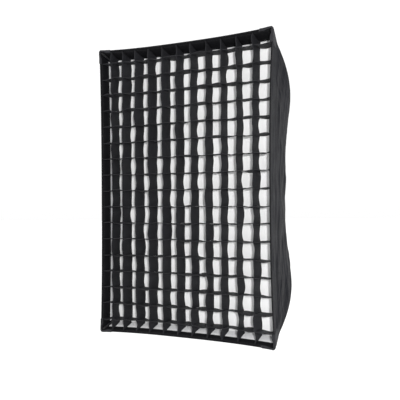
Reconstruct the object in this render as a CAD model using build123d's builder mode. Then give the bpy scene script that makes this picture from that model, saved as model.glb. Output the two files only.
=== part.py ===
"""Rectangular studio softbox with a honeycomb grid, on a rotating bayonet speedring.

Frame: origin on the optical axis, in the rear face of the bayonet flange.
+Y points back towards the flash head, -Y is the way the light leaves, +Z is up the long side.
All lengths are in millimetres.
"""
from math import cos, hypot, radians, sin, tan
import os

from build123d import *

# ---------------------------------------------------------------- driving dimensions
face_width = 800.0          # seam to seam at the front rim
face_height = 1200.0
depth = 650.0               # front rim to the mounting face

cloth = 1.5                 # shell cloth with its coating and lining
hem = 90.0                  # straight stretch of wall behind the rim
hem_pitch = 62.2            # seam against the rim plane, degrees
hem_plan = 65.5             # seam in front view, degrees up from the horizontal
hub_half = 81.3             # half the square opening round the speedring
hub_y = -30.0
leave_pitch = 15.0          # rods leave the speedring this far forward, degrees
leave_plan = 45.0
hub_pull = 440.0            # handle lengths of the seam's curve at its two ends
hem_pull = 75.0

rod_radius = 3.5
rod_inset = 7.0             # rod axis to the outside of both walls
tip_radius = 5.0
tip_length = 18.0
tip_wall_end = 4.0          # closed end of the tip, past the end of the rod
rod_end_gap = 14.0          # end of the rod behind the corner of the rim
socket_radius = 6.5
socket_start = 64.0         # distance of the socket's inner end from the optical axis
socket_end = 106.0
socket_floor = 3.0

binding_width = 12.0
binding_cloth = 1.0
panel_front = 2.0           # panel edge behind the rim, inside the binding
patch_reach = 56.0          # corner patch along each edge
patch_cloth = 2.0
patch_front = 12.0          # square plate over the very corner of the rim

tape = 1.5                  # hook-and-loop tape
tape_gap = 0.5
loop_spans = {               # span of each sewn loop tape, back along its wall
    "side": ((14.0, 42.0), (60.0, 84.0)),
    "top": ((14.0, 30.0), (68.0, 88.0)),
}
grid_spans = {"right": (2.0, 47.0), "left": (2.0, 47.0), "top": (2.0, 66.0), "bottom": (2.0, 32.0)}
diffuser_spans = {"right": (49.0, 84.0), "left": (49.0, 84.0), "top": (68.0, 88.0), "bottom": (34.0, 88.0)}
border = 2.0                # edge band of the grid and of the front diffuser
border_inset = cloth + tape + tape_gap
corner_room = 16.0          # the bands stop this far from the neighbouring wall, for the rod

columns = 12
rows = 18
row_pitch = 67.9            # the cells beside the top and bottom bands are a little smaller
strip = 1.2                 # grid cloth
strip_slot = 1.6
strip_front = 3.0           # strips behind the rim
strip_back = 60.0
strip_shift = -12.0         # the upright strips are sewn in off centre
lap_gap = 0.4

sheet = 1.0                 # diffuser cloth
front_sheet_depth = 62.5    # behind the rim
inner_sheet_y = -330.0
inner_half_w = 255.0
inner_half_h = 345.0
inner_band = 18.0
strap_width = 20.0
strap_cloth = 1.2
tab_thickness = 1.5
tab_length = 42.0
tab_inset = 0.2             # inside the cloth of the shell
rod_room = 1.0              # round the rod, where a tab passes it
stud_place = 29.0            # snap fastener, inside the seam
strap_overlap = 13.0
stud_radius = 3.0
stud_height = 4.0
cap_radius = 6.5
cap_wall = 1.2
cap_lip = 0.8
strap_hole_gap = 0.3
press_gap = 0.02
cap_gap = 0.15

bore_radius = 49.0
flange_radius = 72.0
flange_thickness = 4.0
neck_radius = 56.0
neck_front = -30.3
spigot_radius = 54.0
spigot_length = 10.0
lug_radius = 60.0
lug_thickness = 3.6
lug_angle = 38.0
lug_count = 3
notch_radius = 4.0
notch_count = 3
wedge = 200.0
lug_space = radians(120 - lug_angle)
running_gap = 0.08
end_gap = 0.3

ring_radius = 76.0
ring_front = -36.0
ring_rear = -flange_thickness - end_gap
web_front = -14.0
outer_wall = 6.0
inner_wall = 4.0
ring_edge = 1.5
boss_wall = 2.5
boss_length = 3.0
inner_wall_front = neck_front + end_gap

retainer_radius = 62.0
retainer_thickness = 3.0
screw_count = 6
screw_circle = 52.5
screw_shank = 1.5
screw_head = 2.9
screw_length = 11.0
screw_clearance = 0.1
cross_length = 2.6          # driver recess
cross_width = 0.7
cross_depth = 0.9

lock_y = -8.6
lock_screw_radius = 3.0
lock_screw_gap = 0.06
pad_length = 5.0
pad_gap = 0.05
knob_start = 87.0
knob_length = 18.0
knob_radius = 11.0
knob_lobes = 6
lobe_radius = 4.0
lobe_centre = 13.2
knob_neck = 5.0
knob_neck_radius = 6.0

collar_cloth = 1.5
collar_front = hub_y
collar_rear = -15.5
collar_gap = 0.4
collar_corner = 14.0

far = 900.0                 # longer than anything in the model
overshoot = 10.0            # how far a cutting solid runs past what it cuts

# ---------------------------------------------------------------- the corner seam
half_w = face_width / 2
half_h = face_height / 2
rim_y = -depth


def direction(pitch, plan):
    """Unit vector towards the front: `pitch` out of the rim plane, `plan` round the axis."""
    flat = cos(radians(pitch))
    return Vector(flat * cos(radians(plan)), -sin(radians(pitch)), flat * sin(radians(plan)))


leave_dir = direction(leave_pitch, leave_plan)
hem_dir = direction(hem_pitch, hem_plan)
corner = Vector(half_w, rim_y, half_h)
seam_hub = Vector(hub_half, hub_y, hub_half)
seam_hem = corner - hem_dir * hem
seam = [seam_hub, seam_hub + leave_dir * hub_pull, seam_hem - hem_dir * hem_pull, seam_hem]

# Both walls are drawn in (out, y): out is x for the side walls and z for the top and bottom.
side_plane = Plane.XY
top_plane = Plane(origin=(0, 0, 0), x_dir=(0, 0, 1), z_dir=(-1, 0, 0))


def flat(vector, wall):
    """The seam's point or direction as the side or the top wall sees it."""
    return Vector(vector.X if wall == "side" else vector.Z, vector.Y)


def inward(vector, wall):
    """Unit normal of a wall that runs along `vector`, pointing into the softbox."""
    along = flat(vector, wall).normalized()
    return Vector(along.Y, -along.X)


def hem_point(wall, back, inset):
    """Point of the straight hem: `back` along the wall from the rim and `inset` inside it."""
    along = flat(hem_dir, wall).normalized()
    return flat(corner, wall) - along * back + inward(hem_dir, wall) * inset


def wall_curve(wall, inset):
    """Control points of the wall's curve, `inset` inside its outer face."""
    near_hub = inward(leave_dir, wall) * inset
    near_hem = inward(hem_dir, wall) * inset
    first, second, third, fourth = [flat(point, wall) for point in seam]
    return [first + near_hub, second + near_hub, third + near_hem, fourth + near_hem]


def reach(wall, y, inset):
    """Half width or half height inside the hem at `y`."""
    along = flat(hem_dir, wall).normalized()
    start = hem_point(wall, 0, inset)
    return start.X + (y - start.Y) * along.X / along.Y


# ---------------------------------------------------------------- building blocks
def within(wall, inset):
    """Keep only what lies inside both opposite walls of a pair, `inset` in from their outside."""
    curve = wall_curve(wall, inset)
    front = hem_point(wall, -overshoot, inset)
    rear = 2 * overshoot
    with BuildSketch(side_plane if wall == "side" else top_plane) as region:
        with BuildLine():
            Line((0, rear), (curve[0].X, rear))
            Line((curve[0].X, rear), curve[0])
            Bezier(*curve)
            Line(curve[3], front)
            Line(front, (0, front.Y))
            Line((0, front.Y), (0, rear))
        make_face()
        mirror(about=Plane.YZ)
    extrude(region.sketch, amount=far, both=True, mode=Mode.INTERSECT)


def panel(wall):
    """One curved cloth panel of the shell, on the +X or +Z side."""
    outer = wall_curve(wall, 0)
    inner = wall_curve(wall, cloth)
    outer_front = hem_point(wall, panel_front, 0)
    inner_front = hem_point(wall, panel_front, cloth)
    with BuildPart() as piece:
        with BuildSketch(side_plane if wall == "side" else top_plane):
            with BuildLine():
                Bezier(*outer)
                Line(outer[3], outer_front)
                Line(outer_front, inner_front)
                Line(inner_front, inner[3])
                Bezier(*reversed(inner))
                Line(inner[0], outer[0])
            make_face()
        extrude(amount=far, both=True)
        if wall == "side":
            within("top", 0)
        else:
            within("side", cloth)
    return piece.part


def band(wall, span, insets, half_length=None, room=None):
    """A flat strip on the hem of the +X or +Z wall, cut to a length or clear of its neighbours."""
    points = [
        hem_point(wall, span[0], insets[0]),
        hem_point(wall, span[1], insets[0]),
        hem_point(wall, span[1], insets[1]),
        hem_point(wall, span[0], insets[1]),
    ]
    with BuildPart() as piece:
        with BuildSketch(side_plane if wall == "side" else top_plane):
            with BuildLine():
                Polyline(*points, close=True)
            make_face()
        extrude(amount=half_length if half_length else far, both=True)
        if room is not None:
            within("top" if wall == "side" else "side", room)
    return piece.part


def keep(solid, name):
    """Label one finished piece and write it."""
    solid.label = name
    export_step(solid, "parts/" + name + ".step")


def keep_pair(solid, first, second, about):
    """Write a piece and its mirror image on the other side of the softbox."""
    keep(solid, first)
    with BuildPart() as twin:
        mirror(solid, about=about)
    keep(twin.part, second)


os.makedirs("parts", exist_ok=True)

# ---------------------------------------------------------------- shell, bindings and tapes
with BuildPart() as shell_right:
    add(panel("side"))
keep_pair(shell_right.part, "shell_right_panel", "shell_left_panel", Plane.YZ)

with BuildPart() as shell_top:
    add(panel("top"))
keep_pair(shell_top.part, "shell_top_panel", "shell_bottom_panel", Plane.XY)


def rim_binding(wall, half_length):
    """Folded tape over the raw front edge of a panel."""
    with BuildPart() as piece:
        add(band(wall, (0, binding_width), (-binding_cloth, cloth + binding_cloth), half_length))
        add(band(wall, (panel_front, binding_width + 1), (0, cloth), half_length + 1), mode=Mode.SUBTRACT)
    return piece.part


keep_pair(rim_binding("side", half_h - patch_reach), "rim_binding_right", "rim_binding_left", Plane.YZ)
keep_pair(rim_binding("top", half_w - patch_reach), "rim_binding_top", "rim_binding_bottom", Plane.XY)


def loop_tapes(wall, half_length):
    """The two loop tapes sewn inside a wall: the front one holds the grid, the rear one the diffuser."""
    with BuildPart() as piece:
        for span in loop_spans[wall]:
            add(band(wall, span, (cloth, cloth + tape), half_length))
    return piece.part


side_tape_half = half_h - hem * tan(radians(90 - hem_pitch)) - corner_room
top_tape_half = half_w - hem * tan(radians(90 - hem_pitch)) - corner_room
keep_pair(loop_tapes("side", side_tape_half), "loop_tapes_right", "loop_tapes_left", Plane.YZ)
keep_pair(loop_tapes("top", top_tape_half), "loop_tapes_top", "loop_tapes_bottom", Plane.XY)

# ---------------------------------------------------------------- corner patches
with BuildPart() as patch:
    add(band("side", (0, patch_reach), (-patch_cloth, 0), room=-patch_cloth))
    add(band("top", (0, patch_reach), (-patch_cloth, 0), room=0))
    with BuildSketch(Plane.XZ.offset(depth - panel_front / 2)):
        with Locations((half_w, half_h)):
            Rectangle(2 * patch_front, 2 * patch_front)
    extrude(amount=panel_front / 2 + patch_cloth)
    within("side", -patch_cloth)
    within("top", -patch_cloth)
    with BuildSketch(Plane.XZ.offset(depth - patch_reach - overshoot)):
        with Locations((half_w, half_h)):
            Rectangle(2 * patch_reach, 2 * patch_reach)
    extrude(amount=patch_reach + 2 * overshoot, mode=Mode.INTERSECT)

# ---------------------------------------------------------------- rods, tips and sockets
side_hub = inward(leave_dir, "side")
top_hub = inward(leave_dir, "top")
side_hem = inward(hem_dir, "side")
top_hem = inward(hem_dir, "top")


def rod_shift(side_normal, top_normal):
    """Step from the seam to the rod's axis, which keeps the same distance from both walls."""
    share = rod_inset / (1 + side_normal.Y * top_normal.Y)
    return Vector(side_normal.X, side_normal.Y + top_normal.Y, top_normal.X) * share


hub_shift = rod_shift(side_hub, top_hub)
hem_shift = rod_shift(side_hem, top_hem)
rod_curve = [seam[0] + hub_shift, seam[1] + hub_shift, seam[2] + hem_shift, seam[3] + hem_shift]
rod_end = corner + hem_shift - hem_dir * rod_end_gap


def socket_point(distance):
    """Point of the rod's straight inner end at `distance` from the optical axis."""
    step = (hypot(rod_curve[0].X, rod_curve[0].Z) - distance) / cos(radians(leave_pitch))
    return rod_curve[0] - leave_dir * step


def quadrant(vector, sx, sz):
    return Vector(vector.X * sx, vector.Y, vector.Z * sz)


def round_bar(start, end, radius, bore=0.0, bore_depth=None):
    """Straight round bar from start to end, with an optional blind bore from its start."""
    axis = end - start
    with BuildPart() as bar:
        with BuildSketch(Plane(origin=start, z_dir=axis)):
            Circle(radius)
        extrude(amount=axis.length)
        if bore:
            with BuildSketch(Plane(origin=start, z_dir=axis)):
                Circle(bore)
            extrude(amount=bore_depth or axis.length, mode=Mode.SUBTRACT)
    return bar.part


corners = [("upper_right", 1, 1), ("upper_left", -1, 1), ("lower_right", 1, -1), ("lower_left", -1, -1)]
rod_start = socket_point(socket_start + socket_floor)
for name, sx, sz in corners:
    with BuildPart() as rod:
        with BuildLine() as route:
            Line(quadrant(rod_start, sx, sz), quadrant(rod_curve[0], sx, sz))
            Bezier(*[quadrant(point, sx, sz) for point in rod_curve])
            Line(quadrant(rod_curve[3], sx, sz), quadrant(rod_end, sx, sz))
        with BuildSketch(Plane(origin=route.line @ 0, z_dir=route.line % 0)):
            Circle(rod_radius)
        sweep()
    keep(rod.part, "rod_" + name)

    tip_start = quadrant(rod_end - hem_dir * (tip_length - tip_wall_end), sx, sz)
    tip_end = quadrant(rod_end + hem_dir * tip_wall_end, sx, sz)
    with BuildPart() as tip:
        add(round_bar(tip_start, tip_end, tip_radius, rod_radius + 0.02, tip_length - tip_wall_end))
        fillet(tip.edges().filter_by(GeomType.CIRCLE).sort_by_distance(tip_end)[0], radius=2.0)
    keep(tip.part, "rod_tip_" + name)

    with BuildPart() as socket:
        inner_end = quadrant(socket_point(socket_start), sx, sz)
        outer_end = quadrant(socket_point(socket_end), sx, sz)
        add(round_bar(inner_end, outer_end, socket_radius))
        rod_seat = quadrant(socket_point(socket_start + socket_floor - 0.1), sx, sz)
        add(round_bar(rod_seat, outer_end, rod_radius + 0.05), mode=Mode.SUBTRACT)
    keep(socket.part, "rod_socket_" + name)

    with BuildPart() as corner_patch:
        add(patch.part)
    turned = corner_patch.part
    if sx < 0:
        turned = turned.mirror(Plane.YZ)
    if sz < 0:
        turned = turned.mirror(Plane.XY)
    keep(turned, "corner_patch_" + name)

# ---------------------------------------------------------------- bayonet plate and its retainer
with BuildPart() as bayonet_plate:
    with BuildSketch(Plane.XZ.offset(-spigot_length)):
        Circle(spigot_radius)
    extrude(amount=spigot_length)
    with BuildSketch(Plane.XZ):
        Circle(flange_radius)
        with PolarLocations(flange_radius, notch_count, start_angle=90):
            Circle(notch_radius, mode=Mode.SUBTRACT)
    extrude(amount=flange_thickness)
    with BuildSketch(Plane.XZ.offset(flange_thickness)):
        Circle(neck_radius)
    extrude(amount=-neck_front - flange_thickness)
    with BuildSketch(Plane.XZ.offset(-spigot_length)):
        Circle(lug_radius)
        Circle(spigot_radius - 1, mode=Mode.SUBTRACT)
        with PolarLocations(0, lug_count, start_angle=lug_angle / 2 + 30):
            Polygon((0, 0), (wedge, 0), (wedge * cos(lug_space), wedge * sin(lug_space)), align=None,
                    mode=Mode.SUBTRACT)
    extrude(amount=lug_thickness)
    with BuildSketch(Plane.XZ.offset(-spigot_length)):
        Circle(bore_radius)
    extrude(amount=far, mode=Mode.SUBTRACT)
    with BuildSketch(Plane.XZ.offset(-neck_front)):
        with PolarLocations(screw_circle, screw_count):
            Circle(screw_shank + screw_clearance)
    extrude(amount=-screw_length, mode=Mode.SUBTRACT)
keep(bayonet_plate.part, "bayonet_plate")

retainer_front = neck_front - retainer_thickness
screw_head_depth = screw_head - screw_shank
with BuildPart() as retaining_ring:
    with BuildSketch(Plane.XZ.offset(-neck_front)):
        Circle(retainer_radius)
        Circle(bore_radius, mode=Mode.SUBTRACT)
    extrude(amount=retainer_thickness)
    chamfer(retaining_ring.edges().group_by(Axis.Y)[0].sort_by(SortBy.RADIUS)[-1], length=0.6)
    with Locations(Plane.XZ.offset(-retainer_front)):
        with PolarLocations(screw_circle, screw_count):
            CounterSinkHole(screw_shank + screw_clearance, screw_head + screw_clearance)
keep(retaining_ring.part, "retaining_ring")

with BuildPart() as retaining_screws:
    with BuildSketch(Plane.XZ.offset(-retainer_front)) as heads:
        with PolarLocations(screw_circle, screw_count):
            Circle(screw_head)
    extrude(amount=-screw_head_depth, taper=45)
    with BuildSketch(Plane.XZ.offset(-retainer_front - screw_head_depth)):
        with PolarLocations(screw_circle, screw_count):
            Circle(screw_shank)
    extrude(amount=screw_head_depth - screw_length)
    with BuildSketch(Plane.XZ.offset(-retainer_front)):
        with PolarLocations(screw_circle, screw_count):
            SlotOverall(cross_length, cross_width)
            SlotOverall(cross_length, cross_width, rotation=90)
    extrude(amount=-cross_depth, mode=Mode.SUBTRACT)
keep(retaining_screws.part, "retaining_screws")

# ---------------------------------------------------------------- speedring
ring_bore = neck_radius + running_gap
with BuildPart() as speedring:
    with BuildSketch(Plane.XY):
        with BuildLine():
            Polyline(
                (ring_bore, ring_rear),
                (ring_radius - ring_edge, ring_rear),
                (ring_radius, ring_rear - ring_edge),
                (ring_radius, ring_front),
                (ring_radius - outer_wall, ring_front),
                (ring_radius - outer_wall, web_front),
                (ring_bore + inner_wall, web_front),
                (ring_bore + inner_wall, inner_wall_front),
                (ring_bore, inner_wall_front),
                close=True,
            )
        make_face()
    revolve(axis=Axis.Y)
    for name, sx, sz in corners:
        boss_end = quadrant(socket_point(ring_radius + boss_length), sx, sz)
        boss_start = quadrant(socket_point(ring_radius - outer_wall / 2), sx, sz)
        add(round_bar(boss_start, boss_end, socket_radius + boss_wall))
    for name, sx, sz in corners:
        hole_start = quadrant(socket_point(socket_start - 0.5), sx, sz)
        hole_end = quadrant(socket_point(socket_end), sx, sz)
        add(round_bar(hole_start, hole_end, socket_radius), mode=Mode.SUBTRACT)
    with BuildSketch(Plane.YZ.offset(ring_bore - 5)):
        with Locations((lock_y, 0)):
            Circle(lock_screw_radius + lock_screw_gap)
    extrude(amount=far, mode=Mode.SUBTRACT)
keep(speedring.part, "speedring")

# ---------------------------------------------------------------- rotation lock
pad_tip = neck_radius + pad_gap
with BuildPart() as lock_pad:
    with BuildSketch(Plane.YZ.offset(pad_tip)):
        with Locations((lock_y, 0)):
            Circle(lock_screw_radius)
    extrude(amount=pad_length)
keep(lock_pad.part, "lock_pad")

with BuildPart() as lock_screw:
    with BuildSketch(Plane.YZ.offset(pad_tip + pad_length)):
        with Locations((lock_y, 0)):
            Circle(lock_screw_radius)
    extrude(amount=knob_start + knob_length / 2 - pad_tip - pad_length)
keep(lock_screw.part, "lock_screw")

with BuildPart() as lock_knob:
    with BuildSketch(Plane.YZ.offset(knob_start)):
        with Locations((lock_y, 0)):
            Circle(knob_radius)
            with PolarLocations(lobe_centre, knob_lobes):
                Circle(lobe_radius, mode=Mode.SUBTRACT)
    extrude(amount=knob_length)
    fillet(lock_knob.faces().sort_by(Axis.X)[-1].edges(), radius=1.0)
    with BuildSketch(Plane.YZ.offset(knob_start - knob_neck)):
        with Locations((lock_y, 0)):
            Circle(knob_neck_radius)
    extrude(amount=knob_neck)
    with BuildSketch(Plane.YZ.offset(knob_start - knob_neck)):
        with Locations((lock_y, 0)):
            Circle(lock_screw_radius)
    extrude(amount=knob_neck + knob_length / 2, mode=Mode.SUBTRACT)
keep(lock_knob.part, "lock_knob")

# ---------------------------------------------------------------- fabric collar round the speedring
skirt_outer = hub_half + collar_cloth
with BuildPart() as rear_collar:
    with BuildSketch(Plane.XZ.offset(-collar_rear)):
        RectangleRounded(2 * skirt_outer, 2 * skirt_outer, collar_corner)
    extrude(amount=collar_rear - collar_front)
    with BuildSketch(Plane.XZ.offset(-collar_rear + collar_cloth)):
        RectangleRounded(2 * hub_half, 2 * hub_half, collar_corner - collar_cloth)
    extrude(amount=far, mode=Mode.SUBTRACT)
    with BuildSketch(Plane.XZ.offset(-collar_rear)):
        Circle(ring_radius + collar_gap)
    extrude(amount=far, mode=Mode.SUBTRACT)
keep(rear_collar.part, "rear_collar")

# ---------------------------------------------------------------- front diffuser
def keep_borders(prefix, spans):
    """Write the four edge bands of the grid or of the front diffuser."""
    for name, span in spans.items():
        wall = "side" if name in ("right", "left") else "top"
        edge_band = band(wall, span, (border_inset, border_inset + border), room=corner_room)
        if name == "left":
            edge_band = edge_band.mirror(Plane.YZ)
        if name == "bottom":
            edge_band = edge_band.mirror(Plane.XY)
        keep(edge_band, prefix + name)


sheet_y = rim_y + front_sheet_depth
keep_borders("diffuser_border_", diffuser_spans)

sheet_half_w = reach("side", sheet_y + sheet, border_inset + border)
sheet_half_h = reach("top", sheet_y + sheet, border_inset + border)
with BuildPart() as front_diffuser:
    with BuildSketch(Plane.XZ.offset(-sheet_y - sheet)):
        Rectangle(2 * sheet_half_w, 2 * sheet_half_h)
        with GridLocations(2 * sheet_half_w, 2 * sheet_half_h, 2, 2):
            Rectangle(2 * corner_room, 2 * corner_room, mode=Mode.SUBTRACT)
    extrude(amount=sheet)
keep(front_diffuser.part, "front_diffuser")

# ---------------------------------------------------------------- honeycomb grid
keep_borders("grid_border_", grid_spans)

column_pitch = face_width / columns
strip_depth = strip_back - strip_front
strip_middle = rim_y + (strip_front + strip_back) / 2


def grid_strips(upright):
    """All the upright or all the level strips, each slotted half way for the others."""
    slot_depth = strip_depth / 2 + overshoot
    slot_shift = (slot_depth - lap_gap) / 2
    column_places = [Vector(strip_shift + (k - columns / 2) * column_pitch, 0) for k in range(1, columns)]
    row_places = [Vector(0, (k - rows / 2) * row_pitch) for k in range(1, rows)]
    strip_x, strip_z = (strip, 2 * far) if upright else (2 * far, strip)
    slot_x, slot_z = (2 * far, strip_slot) if upright else (strip_slot, 2 * far)
    with BuildPart() as strips:
        for place in column_places if upright else row_places:
            with Locations((place.X, strip_middle, place.Y)):
                Box(strip_x, strip_depth, strip_z)
        slot_y = strip_middle + (slot_shift if upright else -slot_shift)
        for place in row_places if upright else column_places:
            with Locations((place.X, slot_y, place.Y)):
                Box(slot_x, slot_depth, slot_z, mode=Mode.SUBTRACT)
        within("side", border_inset + border + lap_gap)
        within("top", border_inset + border + lap_gap)
    return strips.part


keep(grid_strips(True), "grid_upright_strips")
keep(grid_strips(False), "grid_level_strips")

# ---------------------------------------------------------------- inner diffuser and its straps
with BuildPart() as inner_diffuser:
    with BuildSketch(Plane.XZ.offset(-inner_sheet_y)):
        Rectangle(2 * inner_half_w, 2 * inner_half_h)
    extrude(amount=sheet)
keep(inner_diffuser.part, "inner_diffuser")

with BuildPart() as inner_binding:
    with BuildSketch(Plane.XZ.offset(-inner_sheet_y)):
        with GridLocations(2 * inner_half_w - inner_band, 1, 2, 1):
            Rectangle(inner_band, 2 * inner_half_h)
        with GridLocations(1, 2 * inner_half_h - inner_band, 1, 2):
            Rectangle(2 * (inner_half_w - inner_band) - 0.4, inner_band)
    extrude(amount=-sheet)
keep(inner_binding.part, "inner_diffuser_binding")


seam_halvings = 40


def seam_at(y):
    """The seam's point at `y`, and its direction there, found by halving its parameter's range."""
    curve = Bezier(*seam)
    low, high = 0.0, 1.0
    for _ in range(seam_halvings):
        middle = (low + high) / 2
        low, high = (middle, high) if (curve @ middle).Y > y else (low, middle)
    return curve @ low, curve % low


anchor, anchor_dir = seam_at(inner_sheet_y)
tie_corner = Vector(inner_half_w, inner_sheet_y, inner_half_h)
tie_line = Vector(anchor.X, inner_sheet_y, anchor.Z) - tie_corner
tie_dir = tie_line.normalized()


def tie_plane(from_anchor, y):
    """Plane facing the front, `from_anchor` inside the seam on the line to the diffuser's corner."""
    spot = tie_corner + tie_dir * (tie_line.length - from_anchor)
    return Plane(origin=(spot.X, y, spot.Z), x_dir=tie_dir, z_dir=(0, -1, 0))


strap_rear = inner_sheet_y - sheet
tab_front = strap_rear + 0.3
with BuildPart() as elastic_straps:
    strap_length = tie_line.length - stud_place + 2 * strap_overlap
    with BuildSketch(tie_plane(stud_place - strap_overlap + strap_length / 2, strap_rear)):
        Rectangle(strap_length, strap_width)
    extrude(amount=strap_cloth)
    with BuildSketch(tie_plane(stud_place, strap_rear)):
        Circle(stud_radius + strap_hole_gap)
    extrude(amount=strap_cloth, mode=Mode.SUBTRACT)
    mirror(about=Plane.YZ)
    mirror(about=Plane.XY)
keep(elastic_straps.part, "elastic_straps")

rod_spot = anchor + (hub_shift + hem_shift) / 2
with BuildPart() as strap_tabs:
    with BuildSketch(tie_plane(tab_length / 2 - overshoot, tab_front)):
        Rectangle(tab_length + 2 * overshoot, strap_width)
    extrude(amount=-tab_thickness)
    within("side", cloth + tab_inset)
    within("top", cloth + tab_inset)
    past_tab = anchor_dir * 2 * overshoot
    add(round_bar(rod_spot - past_tab, rod_spot + past_tab, rod_radius + rod_room), mode=Mode.SUBTRACT)
    with BuildSketch(tie_plane(stud_place, tab_front)):
        Circle(stud_radius + press_gap)
    extrude(amount=-tab_thickness, mode=Mode.SUBTRACT)
    mirror(about=Plane.YZ)
    mirror(about=Plane.XY)
keep(strap_tabs.part, "strap_tabs")

with BuildPart() as snap_studs:
    with BuildSketch(tie_plane(stud_place, tab_front + tab_thickness)):
        Circle(cap_radius)
    extrude(amount=-cap_wall)
    with BuildSketch(tie_plane(stud_place, tab_front + tab_thickness)):
        Circle(stud_radius)
    extrude(amount=tab_thickness + stud_height)
    mirror(about=Plane.YZ)
    mirror(about=Plane.XY)
keep(snap_studs.part, "snap_studs")

cap_rear = strap_rear - strap_cloth
cap_height = stud_height - strap_cloth + cap_wall + cap_lip
with BuildPart() as snap_caps:
    with BuildSketch(tie_plane(stud_place, cap_rear)):
        Circle(cap_radius)
    extrude(amount=cap_height)
    fillet(snap_caps.edges().group_by(Axis.Y)[0], radius=1.0)
    with BuildSketch(tie_plane(stud_place, cap_rear)):
        Circle(stud_radius + cap_gap)
    extrude(amount=cap_height - cap_wall, mode=Mode.SUBTRACT)
    mirror(about=Plane.YZ)
    mirror(about=Plane.XY)
keep(snap_caps.part, "snap_caps")
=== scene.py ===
"""Looks of the rectangular softbox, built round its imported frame. All lengths are in metres.

The four walls share one description: `out` points away from the optical axis, `along` runs beside
the rim, `back` is the distance from the rim along the wall and `inset` the distance inside it.
"""
import math
import random

import bpy
import numpy as np
from mathutils import Matrix, Vector


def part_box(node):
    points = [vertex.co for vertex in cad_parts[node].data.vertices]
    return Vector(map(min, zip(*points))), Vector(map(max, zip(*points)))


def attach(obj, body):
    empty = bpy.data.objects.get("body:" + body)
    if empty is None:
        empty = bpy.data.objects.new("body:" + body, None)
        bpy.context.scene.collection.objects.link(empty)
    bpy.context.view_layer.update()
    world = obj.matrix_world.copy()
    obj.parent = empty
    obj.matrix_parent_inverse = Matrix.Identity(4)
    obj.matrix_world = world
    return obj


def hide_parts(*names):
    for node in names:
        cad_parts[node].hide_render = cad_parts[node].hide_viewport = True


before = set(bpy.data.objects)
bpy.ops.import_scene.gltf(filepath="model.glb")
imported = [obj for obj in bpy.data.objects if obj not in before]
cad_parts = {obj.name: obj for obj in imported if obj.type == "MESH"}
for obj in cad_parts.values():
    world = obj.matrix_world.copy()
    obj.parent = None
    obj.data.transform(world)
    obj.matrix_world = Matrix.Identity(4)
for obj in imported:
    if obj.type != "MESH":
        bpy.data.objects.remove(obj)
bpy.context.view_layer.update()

# ---------------------------------------------------------------- the shell's driving dimensions
HALF = {"side": 0.400, "top": 0.600}
RIM_Y = -0.650
HUB_HALF = 0.0813
HUB_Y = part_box("rear_collar")[0].y
HEM = 0.090
HEM_PITCH, HEM_PLAN = math.radians(62.2), math.radians(65.5)
LEAVE_PITCH, LEAVE_PLAN = math.radians(15), math.radians(45)
HUB_PULL, HEM_PULL = 0.440, 0.075
CLOTH = 0.0015
TAPE = 0.0015
BORDER_INSET = 0.0035
BORDER = 0.002
CORNER_ROOM = 0.016
PATCH_REACH = 0.056
SEAM_RADIUS = 0.009          # the cloth turns round the rods at each corner seam

COLUMNS, ROWS = 12, 18
COLUMN_PITCH, ROW_PITCH = 2 * HALF["side"] / COLUMNS, 0.0679
STRIP_FRONT, STRIP_BACK = 0.003, 0.060
STRIP_SHIFT = -0.012
STRIP_CLOTH, STRIP_HEM, STRIP_EDGE = 0.0013, 0.0030, 0.0018          # thicknesses
LOOP_SPANS = {"side": ((0.014, 0.042), (0.060, 0.084)), "top": ((0.014, 0.030), (0.068, 0.088))}
GRID_SPANS = {"top": (0.002, 0.066), "bottom": (0.002, 0.032)}
GRID_SPANS.update(dict.fromkeys(("right", "left"), (0.002, 0.047)))
DIFFUSER_SPANS = {"top": (0.068, 0.088), "bottom": (0.034, 0.088)}
DIFFUSER_SPANS.update(dict.fromkeys(("right", "left"), (0.049, 0.084)))

# How far the stretched cloth pulls in: the rim at mid-edge, and the wall between the rods.
RIM_BOW = {"right": 0.015, "left": 0.008, "top": 0.012, "bottom": 0.010}
WALL_SAG = {"right": 0.024, "left": 0.024, "top": 0.015, "bottom": 0.015}
BOW_POWER = 2.6
END_CELL_POWER = 8           # the bowed border is taken up by the cells beside it
STRIP_LEAN = 0.011           # the strips' front edges lean to the left of their rear edges

OUT = {
    "right": np.array((1.0, 0, 0)),
    "left": np.array((-1.0, 0, 0)),
    "top": np.array((0, 0, 1.0)),
    "bottom": np.array((0, 0, -1.0)),
}
KIND = {"right": "side", "left": "side", "top": "top", "bottom": "top"}
ALONG = {"side": np.array((0, 0, 1.0)), "top": np.array((1.0, 0, 0))}
BACKWARD = np.array((0, 1.0, 0))
OTHER = {"side": "top", "top": "side"}
CORNERS = {"upper_right": (1, 1), "upper_left": (-1, 1), "lower_right": (1, -1), "lower_left": (-1, -1)}


# ---------------------------------------------------------------- shape of the walls
def direction(pitch, plan):
    flat = math.cos(pitch)
    return np.array((flat * math.cos(plan), -math.sin(pitch), flat * math.sin(plan)))


LEAVE_DIR = direction(LEAVE_PITCH, LEAVE_PLAN)
HEM_DIR = direction(HEM_PITCH, HEM_PLAN)
RIM_CORNER = np.array((HALF["side"], RIM_Y, HALF["top"]))
SEAM_HUB = np.array((HUB_HALF, HUB_Y, HUB_HALF))
SEAM_HEM = RIM_CORNER - HEM_DIR * HEM
SEAM_HANDLES = (SEAM_HUB, SEAM_HUB + LEAVE_DIR * HUB_PULL, SEAM_HEM - HEM_DIR * HEM_PULL, SEAM_HEM)


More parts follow.
